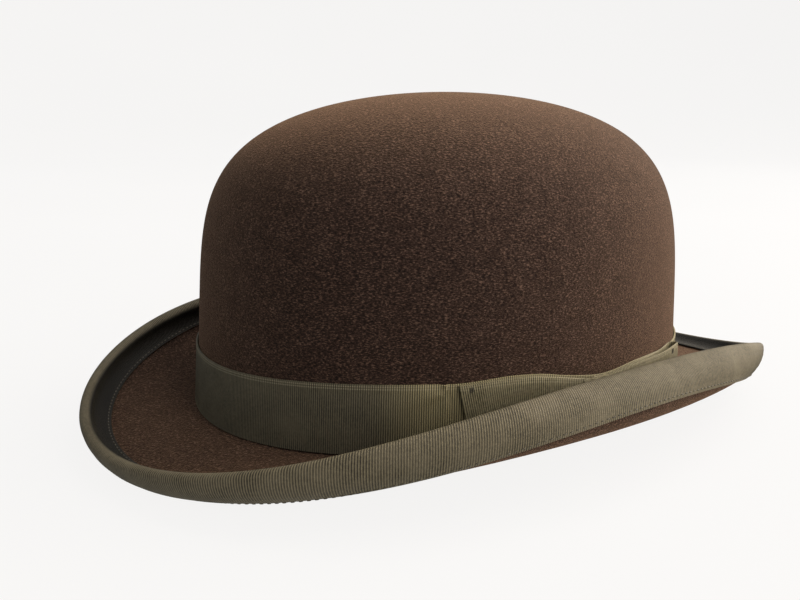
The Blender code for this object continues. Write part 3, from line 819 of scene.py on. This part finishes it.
def bow_grid():
    (lane, out), (lane_normal, out_normal), length = bow_path()
    share, side, rib = strip_section(12, 5)
    lift = (side - 0.5) * RIBBON + rib * rib_heights(len(lane))
    lane, out = lane + lane_normal * lift, out + out_normal * lift
    turn = BOW_CENTRE + lane / CROWN_HALF_LENGTH
    from_knot = np.abs(lane) / BOW_LANE
    gather = np.exp(-((from_knot / 0.22) ** 2))
    top = bow_top(turn) - 0.12 * (4 * MM - out) * smooth(0, 0.5, lane / BOW_LANE)
    foot = BOW_FOOT + 2.6 * MM * gather
    height = foot + (top - foot) * share
    slant = math.radians(1.5) / (12 * MM) * (top - height) * smooth(0.2, 1, -lane / BOW_LANE)
    crease = 0.22 * MM * gather * np.cos(share * 5 * math.pi) * smooth(0.02, 0.2, from_knot)
    return wall_point(turn + slant, height, -(out + crease)), length


grid, bow_length = bow_grid()
share, side, _ = (part[:, 0] for part in strip_section(12, 5))
widths = section_lengths(share * (BAND_HEIGHT - BOW_FOOT), side * RIBBON)
bow_weave = grosgrain("bow_grosgrain", BAND_RIB, *BOW_COLOURS, edge=BAND_HEIGHT - BOW_FOOT)
bow = ribbon_piece("bow_ribbon", grid, bow_weave, BAND_RIB, widths, "bow", "bow_loop")
print(f"bow: {bow_length:.3f} m of ribbon")

# %% [markdown]
# ## The bow's wrap
# A short ribbon goes behind the middle of the bow, over it and round again. Its section is a rounded box
# seen along the bow, and the power 2 / 5 of a circle's cosine and sine gives one with soft corners.

# %% Bow wrap
WRAP_HALF_ANGLE, WRAP_COLUMNS, WRAP_SECTION = math.radians(3.4), 144, 26 * MM
WRAP_HEIGHT, WRAP_OUT = 12.6 * MM, 2.5 * MM
WRAP_HALF_HEIGHT, WRAP_HALF_DEPTH = 6.2 * MM, 1.15 * MM


def soft_corner(wave):
    return np.sign(wave) * np.abs(wave) ** 0.4


def wrap_grid():
    angle = ring(WRAP_COLUMNS)
    share, side, rib = strip_section(10, 4)
    up, depth = soft_corner(np.cos(angle)), soft_corner(np.sin(angle))
    layer = side * RIBBON + rib * rib_heights(WRAP_COLUMNS)
    height = WRAP_HEIGHT + (WRAP_HALF_HEIGHT + layer) * up + 0.3 * MM * np.sin(share * 9)
    crease = 0.12 * MM * np.cos(share * 4 * math.pi) * (depth > 0)
    out = WRAP_OUT + (WRAP_HALF_DEPTH + layer * 0.8) * depth + crease
    waist = 1 - 0.14 * np.abs(depth)
    return wall_point(BOW_CENTRE + WRAP_HALF_ANGLE * waist * (2 * share - 1), height, -out)


grid = wrap_grid()
widths = np.linspace(0, WRAP_SECTION, len(grid) + 1)
wrap = ribbon_piece("bow_wrap", grid, bow_weave, BAND_RIB, widths, "bow", "bow_knot")

# %% [markdown]
# ## Tacks and frayed ends
# Two short bars of thread hold each end of the bow to the crown, and the cut end of the wrap frays into a
# few loose threads above the knot. All of them are swept round threads.

# %% Bow tacks and loose threads
TACK_SHARES, TACK_RADIUS = (-0.93, -0.915, 0.93, 0.915), 0.22 * MM
FRAYED_THREADS, FRAYED_RADIUS, FRAYED_FOOT = 9, 0.1 * MM, 18.6 * MM


def tack_paths():
    share = np.linspace(-1, 1, 6)[None, :]
    lane = np.array(TACK_SHARES)[:, None] * BOW_HALF_ANGLE
    turn = BOW_CENTRE + lane + 0.002 * share
    out = eased(lane / BOW_HALF_ANGLE, FRONT_LAYER) * MM + 0.42 * MM - 0.35 * MM * share**4
    return wall_point(turn, bow_top(turn) - 1.5 * MM + 1.2 * MM * share, -out)


def frayed_paths():
    share = np.linspace(0, 1, 9)[None, :]
    each = (FRAYED_THREADS, 1)
    start, lean = random.uniform(-1, 1, each), random.normal(0, 1, each)
    reach, curl = random.uniform(1.6, 3.4, each) * MM, random.normal(0, 1.1, each) * MM
    turn = BOW_CENTRE + WRAP_HALF_ANGLE * start + (lean * reach * share + curl * share**2) / CROWN_HALF_LENGTH
    height = FRAYED_FOOT + reach * share * (1 - 0.35 * share)
    return wall_point(turn, height, -(2.2 * MM + (1.2 + 0.5 * lean) * MM * share))


tacks = threads("bow_tacks", tack_paths(), TACK_RADIUS, thread_brown)
wear(tacks, "thread", "bow_tack_front", "bow_tack_back")
wear(threads("frayed_threads", frayed_paths(), FRAYED_RADIUS, thread_light, sides=5), "bow")

# %% [markdown]
# ## The sweatband
# A strip of thin sheepskin is sewn to a reeded tape at its lower edge and turned up inside the crown. Its
# free upper edge waves a little, because nothing holds it. Two lines pressed with a hot tool run under
# that edge. They are grooves in the section, and the section is carried round the head.

# %% Sweatband
LEATHER, LEATHER_FOOT = 0.9 * MM, -0.5 * MM
PRESSED_LINES = 42.6 * MM, 43.6 * MM
LEATHER_INSET = FELT + GAP + 0.4 * MM + GAP
INSIDE_COLUMNS = 480


def leather_grid():
    turn = ring(INSIDE_COLUMNS)
    height = np.append(np.linspace(LEATHER_FOOT, 40 * MM, 24), np.arange(40.4, 45.8, 0.3) * MM)[:, None]
    grooves = sum(np.exp(-(((height - line) / (0.28 * MM)) ** 2)) for line in PRESSED_LINES)
    wave = 0.35 * np.sin(3 * turn + 0.6) + 0.25 * np.sin(7 * turn) + 0.15 * np.sin(16 * turn + 1)
    slack = (wave + 0.5) * MM * smooth(25 * MM, 46 * MM, height)
    face = LEATHER_INSET + slack
    inner = wall_point(turn, height, face + LEATHER - 0.16 * MM * grooves)
    angle = np.linspace(-math.pi / 2, math.pi / 2, 7)[1:-1, None]
    across = LEATHER / 2 * np.sin(angle)
    rim = wall_point(turn, height[-1] + LEATHER / 2 * np.cos(angle), face[-1] + LEATHER / 2 - across)
    back = wall_point(turn, height[::-3], face[::-3])
    foot = wall_point(turn, LEATHER_FOOT - 0.3 * MM * np.cos(angle), LEATHER_INSET + LEATHER / 2 + across)
    return np.concatenate([inner, rim, back, foot])


wear(surface("leather_sweatband", leather_grid(), leather, close_rows=True), "sweatband", "sweatband")

# %% [markdown]
# ## The sweatband's stitches
# One row joins the leather to the reed's tape, and short slanting stitches close the leather's seam at
# the back of the head.

# %% Sweatband stitches
def band_stitch(turn, lift):
    return wall_point(turn, 3.2 * MM, LEATHER_INSET + LEATHER + lift)


def seam_stitches():
    """Bars across the back seam, one above the other, alternately slanting."""
    share = np.linspace(-1, 1, 6)[None, :]
    level = np.arange(13, 42, 1.6)[:, None]
    slant = np.where(np.arange(len(level)) % 2, 1, -1)[:, None]
    slack = 0.45 * MM * smooth(25, 46, level)
    inset = LEATHER_INSET + LEATHER + slack + 0.14 * MM - 0.3 * MM * share**4
    return wall_point(math.pi + 0.014 * share, (level + 0.5 * slant * share) * MM, inset)


inner_length = even_ring(lambda t: wall_point(t, 3 * MM, LEATHER_INSET), 4)[1]
row = stitch_row(band_stitch, inner_length, 0.14 * MM, 0.3 * MM, 3 * MM, 2 * MM)
paths = np.concatenate([row, seam_stitches()])
leather_stitches = threads("sweatband_stitches", paths, 0.22 * MM, thread_brown)
wear(leather_stitches, "leather_thread", "sweatband_stitching")

# %% [markdown]
# ## Reed, tape and the little bow at the back
# A nylon rod inside a folded tape stiffens the sweatband's lower edge and keeps the oval. The rod is a
# circle carried round the head, and the tape is a hook-shaped section round it. A small ribbon bow
# covers the leather's seam and marks the back of the hat.

# %% Reed and tape
REED_RADIUS, REED_HEIGHT, TAPE, TAPE_HEIGHT = 0.8 * MM, -1.8 * MM, 0.3 * MM, 7.5 * MM
REED_INSET = FELT + GAP + TAPE + GAP + REED_RADIUS


def reed_grid():
    angle = ring(14).T
    height, inset = REED_HEIGHT + REED_RADIUS * np.sin(angle), REED_INSET + REED_RADIUS * np.cos(angle)
    return wall_point(ring(INSIDE_COLUMNS), height, inset)


def tape_grid():
    """Down the outer side, round under the reed, and back again on the tape's inner face."""
    turn = ring(INSIDE_COLUMNS * 2)
    angle = np.linspace(math.pi, 2 * math.pi, 12)
    sides = []
    for size in (REED_RADIUS + GAP + TAPE, REED_RADIUS + GAP):
        up = np.linspace(TAPE_HEIGHT, REED_HEIGHT, 8)[:-1]
        heights = np.concatenate([up, REED_HEIGHT + size * np.sin(angle)])
        insets = np.concatenate([up * 0 + REED_INSET - size, REED_INSET + size * np.cos(angle)])
        sides.append((heights, insets))
    height = np.concatenate([sides[0][0], sides[1][0][::-1]])[:, None]
    inset = np.concatenate([sides[0][1], sides[1][1][::-1]])[:, None]
    pull = 0.05 * MM * np.cos(turn * 173) * smooth(REED_HEIGHT, 4 * MM, height)
    return wall_point(turn, height, inset + pull)


wear(surface("reed_rod", reed_grid(), nylon, close_rows=True), "reed", "sweatband_reed")
reed_cover = wear(surface("reed_cover", tape_grid(), tape, close_rows=True, sharp=60), "tape", "reed_tape")

# %% Small bow
SMALL_BOW_HEIGHT, SMALL_BOW_LANE = 8 * MM, math.radians(8) * CROWN_HALF_LENGTH
SMALL_RIB, SMALL_BOW_SECTION, SMALL_WRAP_SECTION = 0.5 * MM, 17 * MM, 6 * MM


def small_bow_grid():
    """A loop like the large bow's: flat against the leather, and swollen towards the middle of the head."""
    lane = np.linspace(-1, 1, 60)
    back = 4.0 * MM + LEATHER + FELT - 2.2 * MM + lane * 0
    front = back + (0.85 + 1.2 * np.sin(np.abs(lane) * math.pi) ** 0.8 + 0.2 * np.abs(lane)) * MM
    angle = np.linspace(math.pi / 2, -math.pi / 2, 12)[1:-1]
    half = (front[-1] - back[-1]) / 2
    reach = SMALL_BOW_LANE - half
    end = (reach + half * np.cos(angle), back[0] + half + half * np.sin(angle))
    other_end = (-end[0][::-1], end[1][::-1])
    line = np.concatenate([[lane * reach, front], end, [lane[::-1] * reach, back], other_end], axis=1)
    share, side, rib = strip_section(8, 4)
    lift = (side - 0.5) * 0.45 * MM + rib * 0.04 * MM * np.cos(np.arange(line.shape[1]) * math.pi / 2)
    normal = line_normals(line)
    place, out = line[0] + normal[0] * lift, line[1] + normal[1] * lift
    gather = np.exp(-((place / SMALL_BOW_LANE / 0.25) ** 2))
    foot, top = 3 * MM + 1.8 * MM * gather, 3 * MM + SMALL_BOW_HEIGHT - 1.8 * MM * gather
    return wall_point(math.pi + place / CROWN_HALF_LENGTH, foot + (top - foot) * share, out)


def small_wrap_grid():
    angle = ring(48)
    share, side, _ = strip_section(6, 3)
    height = 7 * MM + (2.6 * MM + 0.4 * MM * side) * np.cos(angle)
    out = 5.45 * MM + (0.75 * MM + 0.35 * MM * side) * np.sin(angle)
    return wall_point(math.pi + 0.014 * (2 * share - 1), height, out)


# The small bow's first colour is its grooves' painted shade.
small_weave = grosgrain("small_bow_grosgrain", SMALL_RIB, "15120F", "332B24", "3C342C", 0.3, 0.3)
grid = small_bow_grid()
widths = np.linspace(0, SMALL_BOW_SECTION, len(grid) + 1)
ribbon_piece("small_bow", grid, small_weave, SMALL_RIB, widths, "small_bow", "sweatband_bow")
grid = small_wrap_grid()
widths = np.linspace(0, SMALL_WRAP_SECTION, len(grid) + 1)
ribbon_piece("small_bow_wrap", grid, small_weave, SMALL_RIB, widths, "small_bow")

# %% [markdown]
# ## The lining
# The satin wall is gathered a little where it is sewn to the oval tip, with a silk cord in the seam. The
# gathers are ridges that stand inwards and die out towards the foot. The tip hangs a little below
# the felt, and a clear oval film keeps grease off it.

# %% Lining
LINING, PIPING_RADIUS, SHIELD = 0.4 * MM, 0.6 * MM, 0.3 * MM
LINING_FOOT = 8 * MM
LINING_INSET = FELT + GAP
TIP_ROW, SHIELD_ROW, CAD_ROWS = 7, 8, 10
DISC_COLUMNS, DISC_ROWS, SEAM = 192, 26, 0.08


def rise_of(row):
    return np.sin(math.pi / 2 * np.asarray(row) / CAD_ROWS)


def gathers(turn, rise):
    """Ridges of uneven strength: the square of a sine, times another sine, fading below the seam."""
    ridge = np.sin(46 * turn + 1.5 * np.sin(5 * turn)) ** 2 * (0.7 + 0.3 * np.sin(7 * turn + 1))
    return 0.55 * MM * ridge * smooth(0.35, 0.86, rise)


def lining_grid():
    turn = ring(960)
    low = LINING_FOOT / (FOOT_Z + CROWN_HEIGHT - LINING_INSET - foot_height(turn))
    share = np.linspace(0, 1, 36)[:, None]
    rise = low + (rise_of(TIP_ROW - SEAM / 2) - low) * np.sin(share * math.pi / 2)
    fold = gathers(turn, rise)
    outer = crown_point(turn, rise, LINING_INSET)
    inner = crown_point(turn, rise, LINING_INSET + LINING + fold)
    return np.concatenate([inner, outer[::-3]])


def disc_grid(first_row, inset, thickness, sag):
    """A thin dome from one row of the crown up to the pole, on both faces. It hangs lower towards the
    middle, by sag times a smooth step."""
    turn = ring(DISC_COLUMNS)
    rise = np.sin(math.pi / 2 * np.linspace(1, first_row / CAD_ROWS, DISC_ROWS))[:, None]
    hang = sag * smooth(rise[-1, 0], 1, rise)
    upper = crown_point(turn, rise, inset) - hang[..., None] * [0, 0, 1]
    lower = crown_point(turn, rise, inset + thickness) - hang[..., None] * [0, 0, 1]
    return np.concatenate([upper, lower[::-1]])


lining_wall = surface("lining_wall", lining_grid(), lining, close_rows=True, sharp=60)
wear(lining_wall, "lining", "lining_side")
tip_grid = disc_grid(TIP_ROW + SEAM / 2, LINING_INSET, LINING, 0.5 * MM)
lining_top = wear(surface("lining_top", tip_grid, lining), "lining", "lining_tip")
film_grid = disc_grid(SHIELD_ROW, LINING_INSET + LINING + GAP, SHIELD, 0.6 * MM)
wear(surface("grease_shield", film_grid, clear_film()), "shield", "tip_shield")

# %% Piping
def piping_grid():
    """Two silk strands twisted together: the radius times 0.86 + 0.14 cos(2 angle - 110 turn)."""
    turn, angle = ring(1320), ring(12).T
    size = PIPING_RADIUS * (0.86 + 0.14 * np.cos(2 * angle - 110 * turn))
    rise = rise_of(TIP_ROW + SEAM / 2 * np.sin(angle) * size / PIPING_RADIUS)
    inset = LINING_INSET + LINING + GAP + PIPING_RADIUS + 0.15 * MM
    return crown_point(turn, rise, inset + size * np.cos(angle))


wear(surface("silk_piping", piping_grid(), cord_silk, close_rows=True), "piping", "lining_piping")

# %% [markdown]
# ## The lining as cloth
# Both pieces were cut flat. The tip is an oval, whose sides are its lengths over the dome and whose area
# is an ellipse's. The wall is a strip with a tenth more cloth than it needs, which makes the gathers. Only
# their shapes in the hat are drawn here.

# %% [markdown]
# ## Camera
# The camera looks at the wearer's left front, a little from above and from quite near, which makes the near
# side of the brim large. Its place is worked out from an azimuth, an elevation and a distance.

# %% Camera
AZIMUTH, ELEVATION, ROLL = math.radians(50.16), math.radians(12.37), math.radians(0.63)
DISTANCE, AIM_RIGHT, AIM_UP, LENS = 379.92 * MM, -18.05 * MM, 32.05 * MM, 41.88


def stand(name, data, right, upright, back, place):
    """A camera or a lamp at a place, with its own three axes along the given ones. It looks along -back."""
    matrix = np.eye(4)
    matrix[:3] = np.stack([right, upright, back, place], axis=1)
    holder = bpy.data.objects.new(name, data)
    holder.matrix_world = Matrix(matrix.tolist())
    bpy.context.scene.collection.objects.link(holder)
    return holder


to_viewer = np.array([math.sin(AZIMUTH), -math.cos(AZIMUTH), 0.0])
level = np.array([math.cos(AZIMUTH), math.sin(AZIMUTH), 0.0])
skyward = np.array([0.0, 0.0, 1.0])
back = to_viewer * math.cos(ELEVATION) + skyward * math.sin(ELEVATION)
upright = np.cross(back, level)
right = level * math.cos(ROLL) + upright * math.sin(ROLL)
upright = upright * math.cos(ROLL) - level * math.sin(ROLL)
aim = np.array([0.0, MIDDLE_Y, FOOT_Z + AIM_UP]) + level * AIM_RIGHT
camera_data = bpy.data.cameras.new("camera")
camera_data.lens = LENS
bpy.context.scene.camera = stand("camera", camera_data, right, upright, back, aim + back * DISTANCE)
print("camera at", (aim + back * DISTANCE).round(4))

# %% [markdown]
# ## Floor and light
# The hat stands on a white light table that curves up into a wall all the way round, so that no edge shows
# behind it from any side. The table glows and its opal glass is grey, which leaves hardly any shadow. A
# large soft lamp stands on the viewer's right, a little behind the hat, a weaker one fills the front right,
# and the weakest one hangs above. An even pale light comes from all around.

# %% Floor
def sweep_grid():
    """A flat disc that turns up on a quarter circle: radius and height run along the section."""
    flat, curve, wall = 1.6, 1.4, 1.2
    angle = np.linspace(0, math.pi / 2, 24)
    radius = np.concatenate([[0, 0.4, 0.8, 1.2], flat + curve * np.sin(angle), [flat + curve]])[:, None]
    height = np.concatenate([[0, 0, 0, 0], curve * (1 - np.cos(angle)), [curve + wall]])[:, None]
    turn = ring(96)
    return points(radius * np.sin(turn), -radius * np.cos(turn), height)


FLOOR_GLOW = 0.95


def light_table():
    material, tree, shader, place = new_material("opal_light_table", Roughness=0.9, Specular_IOR_Level=0.1)
    uneven = noise(tree, place, 0.5, 2.0, 0.5)
    tree.links.new(ramp(tree, uneven, [(0.3, "363636"), (0.7, "3C3C3C")]), shader.inputs["Base Color"])
    shader.inputs["Emission Color"].default_value = linear("F7F6F5")
    shader.inputs["Emission Strength"].default_value = FLOOR_GLOW
    return material


floor = surface("light_table", sweep_grid()[::-1], light_table())
floor.visible_diffuse = floor.visible_glossy = False

# %% Light
LAMP_AIM = 60 * MM


def lamp(name, direction, distance, size, power, colour):
    """A square lamp at a distance from the hat, facing it. direction is right, up and towards the camera."""
    towards = unit(np.array(direction) @ np.array([level, skyward, to_viewer]))
    light = bpy.data.lights.new(name, "AREA")
    light.size, light.energy, light.color = size, power, linear(colour)[:3]
    side = unit(np.cross(skyward, towards))
    place = towards * distance + skyward * LAMP_AIM
    stand(name, light, side, np.cross(towards, side), towards, place)


lamp("key_lamp", (1.0, 0.6, -0.35), 1.5, 1.5, 44, "FFF4E6")
lamp("fill_lamp", (0.9, 0.35, 0.9), 1.6, 1.2, 16, "FFF6EC")
lamp("top_lamp", (0.3, 1.0, -0.5), 1.5, 0.8, 6, "FFF8F0")

world = bpy.data.worlds.new("studio")
world.use_nodes = True
background = world.node_tree.nodes["Background"]
background.inputs["Color"].default_value = linear("F4F5F7")
background.inputs["Strength"].default_value = 0.42
bpy.context.scene.world = world
bpy.context.scene.view_settings.view_transform = "Standard"
